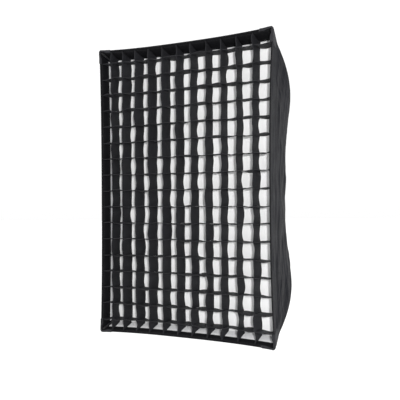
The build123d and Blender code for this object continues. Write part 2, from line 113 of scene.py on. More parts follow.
def seam_points(count):
    """Points of one corner seam from the rim to the speedring, evenly spaced along it."""
    t = np.linspace(0, 1, 400)[:, None]
    first, second, third, fourth = SEAM_HANDLES
    curve = first * (1 - t) ** 3 + 3 * second * t * (1 - t) ** 2 + 3 * third * t**2 * (1 - t) + fourth * t**3
    hem = SEAM_HEM + (RIM_CORNER - SEAM_HEM) * np.linspace(0, 1, 60)[1:, None]
    route = np.vstack((curve, hem))[::-1]
    steps = np.concatenate(([0], np.cumsum(np.linalg.norm(np.diff(route, axis=0), axis=1))))
    places = np.linspace(0, steps[-1], count)
    return np.stack([np.interp(places, steps, route[:, axis]) for axis in range(3)], axis=1)


def flat_direction(kind):
    """Unit direction of a wall's hem in (out, y), towards the front."""
    along = np.array((HEM_DIR[0] if kind == "side" else HEM_DIR[2], HEM_DIR[1]))
    return along / np.linalg.norm(along)


def reach(kind, y, inset=0.0):
    """Half width or half height of the hem at y, `inset` inside the cloth."""
    out, forward = flat_direction(kind)
    start_out = HALF[kind] + forward * inset
    start_y = RIM_Y - out * inset
    return start_out + (y - start_y) * out / forward


def bow(wall, share):
    """How far a wall's rim stands in, at a share -1 to 1 of its length."""
    return RIM_BOW[wall] * (1 - np.minimum(np.abs(share), 1) ** BOW_POWER)


def place(wall, out, y, along):
    out, y, along = np.broadcast_arrays(out, y, along)
    return out[..., None] * OUT[wall] + y[..., None] * BACKWARD + along[..., None] * ALONG[KIND[wall]]


def hem_point(wall, along, back, inset):
    """Points on a wall's hem, bowed with the rim."""
    kind = KIND[wall]
    out, forward = flat_direction(kind)
    y = RIM_Y - forward * back - out * inset
    edge = reach(OTHER[kind], y)
    return place(wall, HALF[kind] - out * back + forward * inset - bow(wall, along / edge), y, along)


def smooth(low, high, value):
    share = np.clip((value - low) / (high - low), 0, 1)
    return share * share * (3 - 2 * share)


def ripples(across, down, seed, length, count=7):
    """Smooth uneven waves of about one wavelength, from -1 to 1."""
    rng = np.random.default_rng(seed)
    total = 0
    for _ in range(count):
        angle = rng.uniform(0, math.pi)
        wave = 2 * math.pi / (length * rng.uniform(0.7, 1.5))
        phase = rng.uniform(0, 2 * math.pi)
        total = total + np.sin(wave * (across * math.cos(angle) + down * math.sin(angle)) + phase)
    return total / count**0.5 / 1.5


# ---------------------------------------------------------------- mesh building
SMOOTH_ANGLE = math.radians(40)


class Mesh:
    """Collects closed solids, each from a grid of points, into one mesh with UVs in metres."""

    def __init__(self):
        self.points, self.faces, self.uvs, self.slots = [], [], [], []
        self.count = 0

    def add(self, points, faces, uvs, slots):
        self.points.append(points)
        self.faces.extend((np.asarray(faces) + self.count).tolist())
        self.uvs.append(uvs)
        self.slots.extend(slots)
        self.count += len(points)

    def cloth(self, grid, thickness, outward=None, kept=None, loop=False, lined=None):
        """A closed sheet about its middle surface; `kept` cells are there, `lined` ones have a lining."""
        rows, columns = grid.shape[:2]
        across = np.gradient(grid, axis=1)
        if loop:
            across = (np.roll(grid, -1, axis=1) - np.roll(grid, 1, axis=1)) / 2
        normal = np.cross(np.gradient(grid, axis=0), across)
        normal /= np.maximum(np.linalg.norm(normal, axis=2, keepdims=True), 1e-12)
        turned = outward is not None and np.sum(normal * outward) < 0
        if turned:
            normal = -normal
        half = np.broadcast_to(np.asarray(thickness) / 2, (rows, columns))[..., None]
        points = np.vstack(((grid + normal * half).reshape(-1, 3), (grid - normal * half).reshape(-1, 3)))
        cells = columns if loop else columns - 1
        if kept is None:
            kept = np.ones((rows - 1, cells), bool)
        index = np.arange(rows * columns).reshape(rows, columns)
        if loop:
            index = np.hstack((index, index[:, :1]))
        a, b, c, d = index[:-1, :-1], index[1:, :-1], index[1:, 1:], index[:-1, 1:]
        under = rows * columns
        padded = np.pad(kept, 1)
        if loop:
            padded[1:-1, 0], padded[1:-1, -1] = kept[:, -1], kept[:, 0]
        faces = [np.stack((a, b, c, d), -1)[kept], np.stack((d, c, b, a), -1)[kept] + under]
        edges = (
            (padded[:-2, 1:-1], a, d),
            (padded[2:, 1:-1], c, b),
            (padded[1:-1, :-2], b, a),
            (padded[1:-1, 2:], d, c),
        )
        for beside, start, end in edges:
            open_edge = kept & ~beside
            faces.append(np.stack((start, end, end + under, start + under), -1)[open_edge])
        lined = kept if lined is None else np.broadcast_to(lined, kept.shape)
        slots = [0] * len(faces[0]) + lined[kept].astype(int).tolist() + [0] * sum(map(len, faces[2:]))
        faces = np.vstack(faces)
        if turned:
            faces = faces[:, ::-1]
        step_across = np.linalg.norm(np.diff(grid, axis=1), axis=2).cumsum(axis=1)
        step_across = np.hstack((np.zeros((rows, 1)), step_across))
        step_across -= step_across[:, columns // 2][:, None]
        step_down = np.linalg.norm(np.diff(grid[:, columns // 2], axis=0), axis=1).cumsum()
        step_down = np.concatenate(([0], step_down))[:, None] * np.ones((1, columns))
        uvs = np.stack((step_across, step_down), -1).reshape(-1, 2)
        used, renumbered = np.unique(faces, return_inverse=True)
        faces = renumbered.reshape(faces.shape)
        self.add(points[used], faces, np.vstack((uvs, uvs))[used], slots)

    def bar(self, rings, closed_ends=True):
        """A solid skinned over rings of points, one ring per station."""
        stations, sides = rings.shape[:2]
        index = np.arange(stations * sides).reshape(stations, sides)
        index = np.hstack((index, index[:, :1]))
        faces = np.stack((index[:-1, :-1], index[:-1, 1:], index[1:, 1:], index[1:, :-1]), -1).reshape(-1, 4)
        centre = rings.mean(axis=1)
        along = np.concatenate(([0], np.linalg.norm(np.diff(centre, axis=0), axis=1).cumsum()))
        girth = np.linalg.norm(rings[0] - np.roll(rings[0], 1, axis=0), axis=1).sum()
        around = np.arange(sides) / sides * girth
        uvs = np.stack(np.broadcast_arrays(around[None, :], along[:, None]), -1).reshape(-1, 2)
        points = rings.reshape(-1, 3)
        if closed_ends:
            points = np.vstack((points, centre[:1], centre[-1:]))
            uvs = np.vstack((uvs, uvs[:1], uvs[-1:]))
            first, last = stations * sides, stations * sides + 1
            caps = [(index[0, k + 1], index[0, k], first, first) for k in range(sides)]
            caps += [(index[-1, k], index[-1, k + 1], last, last) for k in range(sides)]
            faces = np.vstack((faces, np.array(caps)))
        self.add(points, faces, uvs, [0] * len(faces))

    def make(self, name, materials, body, slot, replaces=()):
        name = name + "_cloth" if name in replaces else name
        data = bpy.data.meshes.new(name)
        points = np.vstack(self.points)
        faces = [face[:3] if face[2] == face[3] else face for face in self.faces]
        data.from_pydata(points.tolist(), [], faces)
        for material in materials:
            data.materials.append(material)
        data.polygons.foreach_set("material_index", [min(s, len(materials) - 1) for s in self.slots])
        corners = np.zeros(len(data.loops), np.int32)
        data.loops.foreach_get("vertex_index", corners)
        uv = data.uv_layers.new(name="cloth")
        uv.data.foreach_set("uv", np.vstack(self.uvs)[corners].astype(np.float32).ravel())
        data.polygons.foreach_set("use_smooth", [True] * len(data.polygons))
        data.set_sharp_from_angle(angle=SMOOTH_ANGLE)
        data.validate()
        piece = bpy.data.objects.new(name, data)
        bpy.context.scene.collection.objects.link(piece)
        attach(piece, body)
        if replaces:
            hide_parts(*replaces)
        return piece


def tangents(points):
    along = np.gradient(points, axis=0)
    return along / np.maximum(np.linalg.norm(along, axis=1, keepdims=True), 1e-12)


def section_rings(points, normal, section):
    """Rings of a section in (across, up) swept along points, `up` being the given normal."""
    along = tangents(points)
    normal = normal - along * np.sum(normal * along, axis=1, keepdims=True)
    normal /= np.linalg.norm(normal, axis=1, keepdims=True)
    across = np.cross(along, normal)
    return points[:, None] + across[:, None] * section[None, :, :1] + normal[:, None] * section[None, :, 1:]


def round_section(radius, sides):
    turn = np.linspace(0, 2 * math.pi, sides, endpoint=False)
    return np.stack((radius * np.cos(turn), radius * np.sin(turn)), 1)


STITCH, STITCH_GAP, THREAD = 0.0034, 0.0016, 0.00045


def stitch_row(mesh, points, outward):
    """A row of short thread stitches lying on the cloth's outward side, along a line of points."""
    normal = np.tile(outward, (len(points), 1))
    steps = np.concatenate(([0], np.linalg.norm(np.diff(points, axis=0), axis=1).cumsum()))
    shape = round_section(1.0, 6)
    for start in np.arange(STITCH_GAP, steps[-1] - STITCH, STITCH + STITCH_GAP):
        places = start + STITCH * np.array((0, 0.22, 0.78, 1))
        line = np.stack([np.interp(places, steps, points[:, axis]) for axis in range(3)], 1)
        up = np.stack([np.interp(places, steps, normal[:, axis]) for axis in range(3)], 1)
        line += up * THREAD * np.array((-0.6, 0.45, 0.45, -0.6))[:, None]
        rings = section_rings(line, up, shape * THREAD)
        middle = line[:, None]
        width = np.array((0.45, 1, 1, 0.45))[:, None, None]
        mesh.bar(middle + (rings - middle) * width)


# ---------------------------------------------------------------- materials
class Paint:
    """Builds one procedural material. Uniform values go straight on the shader's own sockets."""

    def __init__(self, name, **uniform):
        self.material = bpy.data.materials.new(name)
        self.material.use_nodes = True
        self.tree = self.material.node_tree
        self.surface = self.tree.nodes["Principled BSDF"]
        for socket, value in uniform.items():
            self.surface.inputs[socket.replace("_", " ")].default_value = value

    def node(self, kind, inputs, **settings):
        node = self.tree.nodes.new("ShaderNode" + kind)
        for key, value in settings.items():
            setattr(node, key, value)
        for key, value in inputs.items():
            if isinstance(value, bpy.types.NodeSocket):
                self.tree.links.new(value, node.inputs[key])
            else:
                node.inputs[key].default_value = value
        return node.outputs[0]

    def math(self, operation, first, second=0.0):
        return self.node("Math", {0: first, 1: second}, operation=operation)

    def place(self, kind="Object"):
        node = self.tree.nodes.new("ShaderNodeTexCoord")
        return node.outputs[kind]

    def noise(self, scale, detail=3.0, place=None):
        inputs = {"Vector": place or self.place(), "Scale": scale, "Detail": detail, "Roughness": 0.55}
        return self.node("TexNoise", inputs)

    def stretched(self, scale):
        return self.node("Mapping", {"Vector": self.place(), "Scale": scale})

    def ramp(self, value, low, high, low_value=0.0, high_value=1.0):
        return self.node("MapRange", {0: value, 1: low, 2: high, 3: low_value, 4: high_value})

    def tones(self, value, dark, light, low=0.3, high=0.7):
        mixed = self.tree.nodes.new("ShaderNodeMix")
        mixed.data_type = "RGBA"
        self.tree.links.new(self.ramp(value, low, high), mixed.inputs[0])
        for socket, colour in ((mixed.inputs[6], dark), (mixed.inputs[7], light)):
            if isinstance(colour, bpy.types.NodeSocket):
                self.tree.links.new(colour, socket)
            else:
                socket.default_value = (*colour, 1)
        return mixed.outputs[2]

    def weave(self, pitch):
        """Height of a plain weave with that thread pitch, over the cloth's own metres."""
        split = self.tree.nodes.new("ShaderNodeSeparateXYZ")
        self.tree.links.new(self.place("UV"), split.inputs[0])
        warp = self.math("SINE", self.math("MULTIPLY", split.outputs[0], 2 * math.pi / pitch))
        weft = self.math("SINE", self.math("MULTIPLY", split.outputs[1], 2 * math.pi / pitch))
        return self.math("MULTIPLY", warp, weft)

    def ribs(self, pitch, axis, sharpness):
        """Narrow raised lines across one direction of the cloth, one per pitch."""
        split = self.tree.nodes.new("ShaderNodeSeparateXYZ")
        self.tree.links.new(self.place("UV"), split.inputs[0])
        wave = self.math("COSINE", self.math("MULTIPLY", split.outputs[axis], 2 * math.pi / pitch))
        return self.math("POWER", self.ramp(wave, -1, 1), sharpness)

    def bump(self, height, distance, strength=1.0, under=None):
        inputs = {"Height": height, "Distance": distance, "Strength": strength}
        if under is not None:
            inputs["Normal"] = under
        return self.node("Bump", inputs)

    def finish(self, **linked):
        for socket, value in linked.items():
            self.tree.links.new(value, self.surface.inputs[socket.replace("_", " ")])
        return self.material


def woven(name, dark, light, roughness, pitch, depth, specular):
    """Plain woven cloth: two close tones in soft patches, a weave, and fine creases."""
    paint = Paint(name, Specular_IOR_Level=specular)
    patches = paint.noise(9.0, 4.0)
    fibres = paint.noise(900.0, 2.0, paint.place("UV"))
    mixed = paint.math("ADD", paint.math("MULTIPLY", patches, 0.7), paint.math("MULTIPLY", fibres, 0.3))
    crease = paint.bump(paint.noise(38.0, 4.0), 0.0012, 0.35)
    weave = paint.bump(paint.weave(pitch), depth, 0.6, crease)
    rough = paint.ramp(fibres, 0.3, 0.7, roughness - 0.06, roughness + 0.06)
    return paint.finish(Base_Color=paint.tones(mixed, dark, light), Roughness=rough, Normal=weave)


def shell_nylon():
    """Coated charcoal nylon: fine weave, faint ripstop lines and lighter streaks, a painted highlight standing
    for the sheen along the folds.
    """
    paint = Paint("shell_nylon", Specular_IOR_Level=0.03)
    patches = paint.noise(5.0, 5.0)
    # painted highlight: lighter streaks running front to back in the colour, standing for the sheen along the
    # wrinkles
    fold_sheen_streaks = paint.noise(1.0, 4.0, paint.stretched((9.0, 4.0, 30.0)))
    mixed = paint.math("ADD", paint.math("MULTIPLY", patches, 0.5), paint.math("MULTIPLY", fold_sheen_streaks, 0.5))
    colour = paint.tones(mixed, (0.0042, 0.0044, 0.0060), (0.0118, 0.0122, 0.0155), 0.35, 0.68)
    creases = paint.bump(paint.noise(22.0, 5.0), 0.0022, 0.55)
    ripstop = paint.math("MAXIMUM", paint.ribs(0.005, 0, 14.0), paint.ribs(0.005, 1, 14.0))
    lines = paint.bump(ripstop, 0.00012, 0.5, creases)
    weave = paint.bump(paint.weave(0.0009), 0.00008, 0.5, lines)
    return paint.finish(Base_Color=colour, Roughness=paint.ramp(patches, 0.3, 0.7, 0.44, 0.58), Normal=weave)


def silver_lining():
    """Reflective lining: silver film with an embossed pebble and fine creases."""
    paint = Paint("silver_lining", Metallic=0.85, Specular_IOR_Level=0.5)
    where = paint.place("UV")
    pebble = paint.node("TexVoronoi", {"Vector": where, "Scale": 260.0}, feature="SMOOTH_F1")
    embossed = paint.bump(pebble, 0.0006, 0.7, paint.bump(paint.noise(26.0, 5.0), 0.002, 0.5))
    colour = paint.tones(paint.noise(12.0, 4.0), (0.60, 0.61, 0.63), (0.80, 0.81, 0.82))
    return paint.finish(Base_Color=colour, Roughness=paint.ramp(pebble, 0, 0.5, 0.26, 0.42), Normal=embossed)


def ribbed_tape(name, dark, light, roughness=0.7, pitch=0.0016, specular=0.3):
    """Grosgrain tape: close ribs across its length, with a fibrous face."""
    paint = Paint(name, Specular_IOR_Level=specular, Sheen_Weight=0.03, Sheen_Roughness=0.5)
    fibres = paint.noise(700.0, 3.0, paint.place("UV"))
    ribs = paint.bump(paint.ribs(pitch, 1, 1.5), 0.0002, 0.7, paint.bump(fibres, 0.0002, 0.4))
    patches = paint.noise(16.0)
    mixed = paint.math("ADD", paint.math("MULTIPLY", fibres, 0.5), paint.math("MULTIPLY", patches, 0.5))
    rough = paint.ramp(fibres, 0.3, 0.7, roughness - 0.08, roughness + 0.08)
    return paint.finish(Base_Color=paint.tones(mixed, dark, light), Roughness=rough, Normal=ribs)


def fuzzy_tape(name, dark, light):
    """Hook-and-loop tape: tangled loops standing off a woven ground, with painted shade between the loops."""
    paint = Paint(name, Specular_IOR_Level=0.2, Sheen_Weight=0.25, Sheen_Roughness=0.7)
    where = paint.place("UV")
    loops = paint.node("TexVoronoi", {"Vector": where, "Scale": 900.0}, feature="DISTANCE_TO_EDGE")
    tangle = paint.noise(1400.0, 4.0, where)
    height = paint.math("ADD", loops, paint.math("MULTIPLY", tangle, 0.5))
    # painted shade: the colour darkens with the loop height, so the ground between the loops reads as shaded
    colour = paint.tones(height, dark, light, 0.15, 0.6)
    rough = paint.ramp(tangle, 0.3, 0.7, 0.78, 0.96)
    return paint.finish(Base_Color=colour, Roughness=rough, Normal=paint.bump(height, 0.0006, 0.9))


def diffusion_cloth(name, dark, light):
    """White diffusion cloth: a fine weave and soft pressed folds, with painted shade in the hollows of the
    folds.
    """
    paint = Paint(name, Specular_IOR_Level=0.2, Roughness=0.85)
    folds = paint.noise(3.2, 4.0)
    pressed = paint.bump(folds, 0.006, 0.35)
    creases = paint.bump(paint.noise(30.0, 3.0), 0.0008, 0.3, pressed)
    weave = paint.bump(paint.weave(0.0008), 0.00006, 0.5, creases)
    # painted shade: the colour follows the fold height, darker in the hollows of the folds
    return paint.finish(Base_Color=paint.tones(folds, dark, light, 0.35, 0.65), Normal=weave)


def moulded(name, dark, light, roughness, specular=0.5):
    """Moulded plastic or rubber: fine spark texture with handling marks."""
    paint = Paint(name, Specular_IOR_Level=specular)
    spark = paint.noise(1600.0, 2.0)
    marks = paint.noise(60.0, 5.0)
    rough = paint.ramp(marks, 0.35, 0.65, roughness - 0.08, roughness + 0.1)
    normal = paint.bump(spark, 0.00008, 0.6, paint.bump(marks, 0.0001, 0.3))
    return paint.finish(Base_Color=paint.tones(marks, dark, light), Roughness=rough, Normal=normal)


def machined(name, dark, light, roughness, scale=(1.0, 900.0, 1.0)):
    """Turned metal: fine tool lines round the optical axis, with small bright scratches."""
    paint = Paint(name, Metallic=1.0, Specular_IOR_Level=0.5)
    lines = paint.noise(1.0, 3.0, paint.stretched(scale))
    scratches = paint.noise(1.0, 5.0, paint.stretched((220.0, 40.0, 900.0)))
    worn = paint.math("POWER", paint.ramp(scratches, 0.5, 0.85), 2.0)
    smudges = paint.noise(45.0, 4.0)
    bare = [min(1, c * 1.8 + 0.02) for c in light]
    colour = paint.tones(worn, paint.tones(smudges, dark, light), bare, 0, 1)
    rough = paint.math("ADD", paint.ramp(lines, 0.3, 0.7, roughness - 0.06, roughness + 0.06),
                       paint.ramp(smudges, 0.3, 0.7, -0.04, 0.06))
    return paint.finish(Base_Color=colour, Roughness=rough, Normal=paint.bump(lines, 0.00004, 0.5))


def fibre_rod():
    """Pultruded glass-fibre rod: lengthwise fibres under a smooth resin skin."""
    paint = Paint("glass_fibre_rod", Specular_IOR_Level=0.55, Coat_Weight=0.3, Coat_Roughness=0.2)
    fibres = paint.noise(1.0, 4.0, paint.stretched((500.0, 60.0, 500.0)))
    colour = paint.tones(fibres, (0.012, 0.012, 0.013), (0.045, 0.045, 0.048))
    rough = paint.ramp(fibres, 0.3, 0.7, 0.3, 0.45)
    return paint.finish(Base_Color=colour, Roughness=rough, Normal=paint.bump(fibres, 0.0001, 0.4))


BLACK, SOFT_BLACK = (0.0065, 0.0066, 0.0078), (0.0155, 0.0158, 0.0185)
SHELL = shell_nylon()
LINING = silver_lining()
EDGE_TAPE = ribbed_tape("edge_tape", (0.006, 0.006, 0.0068), (0.018, 0.018, 0.0205), specular=0.05)
PATCH = woven("corner_patch_cloth", (0.008, 0.008, 0.0095), (0.024, 0.024, 0.028),
              0.62, 0.0018, 0.00022, 0.15)
LOOP = fuzzy_tape("hook_and_loop", (0.006, 0.006, 0.007), (0.02, 0.02, 0.022))
COLLAR = woven("collar_cloth", BLACK, SOFT_BLACK, 0.6, 0.0012, 0.00012, 0.35)
WEBBING = ribbed_tape("webbing", (0.008, 0.008, 0.009), (0.026, 0.026, 0.029), 0.66, 0.0022)
GRID = woven("grid_cloth", (0.0075, 0.0075, 0.0092), (0.0155, 0.0158, 0.0188), 0.66, 0.0009, 0.00008, 0.26)
# painted shade: the grid's border cloth is black, and is made darker still than the strip cloth to stand for
# the shade on the bands round the grid
GRID_EDGE_SHADED_CLOTH = woven("grid_edge_cloth", (0.003, 0.003, 0.0037), (0.007, 0.0071, 0.0085),
                  0.75, 0.0012, 0.0001, 0.1)
DIFFUSER = diffusion_cloth("front_diffuser_cloth", (0.84, 0.84, 0.84), (0.90, 0.90, 0.90))
INNER = diffusion_cloth("inner_diffuser_cloth", (0.80, 0.81, 0.82), (0.88, 0.885, 0.89))
WHITE_HOOK = fuzzy_tape("white_hook_tape", (0.62, 0.62, 0.63), (0.84, 0.84, 0.85))
WHITE_BINDING = ribbed_tape("white_binding", (0.66, 0.66, 0.67), (0.84, 0.84, 0.85))
ELASTIC = ribbed_tape("elastic", (0.60, 0.60, 0.61), (0.80, 0.80, 0.81), 0.75, 0.0013)
THREAD_DARK = ribbed_tape("dark_thread", (0.012, 0.012, 0.013), (0.04, 0.04, 0.044), 0.55, 0.0006)
THREAD_LIGHT = ribbed_tape("light_thread", (0.6, 0.6, 0.61), (0.8, 0.8, 0.81), 0.55, 0.0006)

CAD_FINISH = {
    "speedring": machined("black_aluminium", (0.012, 0.012, 0.013), (0.028, 0.028, 0.03), 0.38),
    "bayonet_plate": machined("bayonet_steel", (0.42, 0.42, 0.43), (0.58, 0.58, 0.59), 0.3),
    "retaining_ring": machined("retaining_steel", (0.40, 0.40, 0.41), (0.55, 0.55, 0.56), 0.34),
    "retaining_screws": machined("screw_steel", (0.10, 0.10, 0.105), (0.2, 0.2, 0.205), 0.32),
    "lock_screw": machined("lock_screw_steel", (0.45, 0.45, 0.46), (0.6, 0.6, 0.61), 0.3, (900.0, 1.0, 1.0)),
    "lock_pad": moulded("nylon_pad", (0.5, 0.49, 0.46), (0.62, 0.61, 0.58), 0.45),
    "lock_knob": moulded("knob_plastic", (0.012, 0.012, 0.013), (0.026, 0.026, 0.028), 0.5),
    "snap_studs": machined("stud_metal", (0.30, 0.30, 0.31), (0.45, 0.45, 0.46), 0.28),
    "snap_caps": machined("snap_metal", (0.32, 0.32, 0.33), (0.48, 0.48, 0.49), 0.25),
}


def finish_cad_nodes():
    """Give every CAD piece that stays on show its own finish."""
    rod = fibre_rod()
    rubber = moulded("tip_rubber", (0.010, 0.010, 0.0105), (0.022, 0.022, 0.023), 0.72, 0.35)
    steel = machined("socket_steel", (0.32, 0.32, 0.33), (0.48, 0.48, 0.49), 0.36, (300.0, 60.0, 300.0))
    finishes = dict(CAD_FINISH)
    for corner in CORNERS:
        finishes["rod_" + corner] = rod
        finishes["rod_tip_" + corner] = rubber
        finishes["rod_socket_" + corner] = steel
    for name, material in finishes.items():
        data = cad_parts[name].data
        data.materials.clear()
        data.materials.append(material)


# ---------------------------------------------------------------- shell
PANEL_ROWS = 150
PANEL_COLUMNS = {"side": 190, "top": 130}
PANEL_FRONT = 0.002
BROAD_FOLD, FINE_FOLD = 0.0048, 0.0024
FRONT_CREASE, REAR_CREASE = 0.0090, 0.0060
SEAM_PUCKER, SEAM_PUCKER_PITCH = 0.0009, 0.026
RIM_PUCKER, RIM_PUCKER_PITCH = 0.0005, 0.028
CREASE_ROUND = 0.04          # keeps a crease's crest wider than the cloth is thick


def fan(distance, angle, seed, folds):
    """Sharp creases spreading from a corner, strongest a hand's width away from it."""
    rng = np.random.default_rng(seed)
    bend = ripples(distance, angle, seed + 1, 0.35, 4) * 0.35
    wave = np.sqrt(np.sin(folds * (angle + 0.5 * bend * distance) + rng.uniform(0, 3)) ** 2 + CREASE_ROUND)
    strength = smooth(0.02, 0.12, distance) * np.exp(-distance / 0.3)
    uneven = 0.65 + 0.35 * ripples(distance * 0.3, angle, seed + 2, 0.5, 4)
    return np.maximum(1 - wave, 0) ** 3 * strength * uneven


def panel_folds(wall, back, along, edge, length):
    """Wrinkles of one wall, as a distance inward from its stretched shape."""
    seed = 11 * (1 + list(OUT).index(wall))
    loose = smooth(HEM - 0.004, HEM + 0.07, back)
    from_seam = edge - np.abs(along)
    folds = BROAD_FOLD * ripples(along * 0.55, back, seed, 0.15)
    folds = folds + FINE_FOLD * ripples(along * 0.45, back, seed + 3, 0.06)
    for side in (-1, 1):
        aside = edge - side * along
        for away, depth, start, count in ((back, FRONT_CREASE, 5, 14), (length - back, REAR_CREASE, 9, 11)):
            creases = fan(np.hypot(away, aside), np.arctan2(aside, away), seed + start + side, count)
            folds = folds - depth * creases
    seam_pucker = np.sin(2 * math.pi * back / SEAM_PUCKER_PITCH + 2 * ripples(back, along * 0, seed + 20, 0.2))
    rim_pucker = np.sin(2 * math.pi * along / RIM_PUCKER_PITCH + 2 * ripples(along, back * 0, seed + 21, 0.2))
    puckers = SEAM_PUCKER * seam_pucker * np.exp(-from_seam / 0.02)
    puckers = puckers + RIM_PUCKER * rim_pucker * np.exp(-back / 0.025)
    free = smooth(0.009, 0.05, from_seam) * smooth(0.0, 0.03, back) * smooth(0.0, 0.05, length - back)
    folds = np.where(folds > 0, folds * loose, folds * (0.75 + 0.25 * loose))
    return folds * free + puckers * smooth(0.002, 0.012, from_seam) * smooth(0.004, 0.016, back) * loose


def make_panel(wall):
    kind = KIND[wall]
    seam = seam_points(PANEL_ROWS)
    out_axis, edge_axis = (0, 2) if kind == "side" else (2, 0)
    profile = seam[:, (out_axis, 1)]
    steps = np.linalg.norm(np.diff(profile, axis=0), axis=1)
    back = np.concatenate(([0], steps.cumsum()))
    length = back[-1]
    keep = back >= PANEL_FRONT
    profile, back, edge = profile[keep], back[keep], seam[keep, edge_axis]

    turn = np.linspace(0, 1, 6)[1:]
    share = np.linspace(-1, 1, PANEL_COLUMNS[kind])
    flat_edge = (edge - SEAM_RADIUS)[:, None]
    along = np.hstack((
        -flat_edge - SEAM_RADIUS * turn[::-1],
        flat_edge * share,
        flat_edge + SEAM_RADIUS * turn,
    ))
    edge, back = edge[:, None], back[:, None]
    normal = np.gradient(profile, axis=0)
    normal = np.stack((normal[:, 1], -normal[:, 0]), 1)
    normal = -normal / np.linalg.norm(normal, axis=1, keepdims=True)
    normal *= np.where(normal[:, :1] > 0, -1, 1)
    straight_in = np.array((-1.0, 0.0)) * (1 - smooth(HEM, 0.3, back)) + normal * smooth(HEM, 0.3, back)

    past = np.clip((back - HEM) / (length - HEM), 0, 1)
    pull = RIM_BOW[wall] * (1 - past) ** 2 + WALL_SAG[wall] * np.sin(math.pi * past**0.72) ** 2
    shape = 1 - np.minimum(np.abs(along) / edge, 1) ** BOW_POWER
    inward = pull * shape
    out = profile[:, :1] + straight_in[:, :1] * inward
    y = profile[:, 1:] + straight_in[:, 1:] * inward
    folds = panel_folds(wall, back, along, edge, length) + CLOTH / 2
    out = out + normal[:, :1] * folds
    y = y + normal[:, 1:] * folds

    over = np.clip((np.abs(along) - flat_edge) / SEAM_RADIUS, 0, 1) * math.pi / 4
    rounded = np.sign(along) * (flat_edge + SEAM_RADIUS * np.sin(over))
    along = np.where(over > 0, rounded, along)
    out = out - SEAM_RADIUS * (1 - np.cos(over))

    name = f"shell_{wall}_panel"
    mesh = Mesh()
    mesh.cloth(place(wall, out, y, along), CLOTH, outward=OUT[wall], lined=back[1:] > HEM)
    piece = mesh.make(name, [SHELL, LINING], "softbox", "shell_nylon", [name])


def seam_arc_point(points, sx, sz, lift=0.0):
    """Middle of the rounded corner seam, on the outside of the cloth."""
    inset = SEAM_RADIUS * (1 - math.cos(math.pi / 4)) - lift
    return np.stack((sx * (points[:, 0] - inset), points[:, 1], sz * (points[:, 2] - inset)), 1)


def make_seam_piping(corner):
    """Narrow piping sewn in along one corner seam."""
    sx, sz = CORNERS[corner]
    seam = seam_points(260)
    seam = seam[(seam[:, 1] > RIM_Y + 0.05) & (seam[:, 1] < HUB_Y - 0.001)]
    line = seam_arc_point(seam, sx, sz, 0.0003)
    outward = np.tile((sx, 0.35, sz), (len(line), 1)) / math.sqrt(2)
    wobble = 0.00025 * ripples(seam[:, 1], seam[:, 1] * 0, 77, 0.05)[:, None] * outward
    mesh = Mesh()
    mesh.bar(section_rings(line + wobble, outward, round_section(0.0017, 10)))
    mesh.make("seam_piping_" + corner, [EDGE_TAPE], "softbox", "edge_tape")


# ---------------------------------------------------------------- rim bindings, patches and tapes
def edge_line(wall, half_length, step):
    return np.linspace(-half_length, half_length, max(8, int(2 * half_length / step)))


def make_rim_binding(wall):
    """Tape folded over the panel's front edge, topstitched near its rear edge."""
    kind = KIND[wall]
    half_length = HALF[OTHER[kind]] - PATCH_REACH + 0.004
    along = edge_line(wall, half_length, 0.006)
    nose = np.linspace(-math.pi / 2, math.pi / 2, 7)
    middle, half_thick = CLOTH / 2, CLOTH / 2 + 0.001
    section = [(0.012, middle - half_thick + 0.0006), (0.0115, middle - half_thick)]
    section += [(half_thick - half_thick * math.cos(a), middle + half_thick * math.sin(a)) for a in nose]
    section += [(0.0115, middle + half_thick), (0.012, middle + half_thick - 0.0006)]
    pucker = 0.00018 * np.sin(2 * math.pi * along / 0.014 + 2 * ripples(along, along * 0, 5, 0.1))
    rings = np.stack([hem_point(wall, along, b, i + np.sign(i - middle) * pucker) for b, i in section], 1)
    name = "rim_binding_" + wall
    mesh = Mesh()
    mesh.bar(rings)
    mesh.make(name, [EDGE_TAPE], "softbox", "edge_tape", [name])
    stitches = Mesh()
    for inset, outside in ((middle - half_thick, 1), (middle + half_thick, -1)):
        line = hem_point(wall, along, 0.0092, inset)
        stitch_row(stitches, line, OUT[wall] * outside)
    stitches.make("rim_stitches_" + wall, [THREAD_DARK], "softbox", "edge_tape")


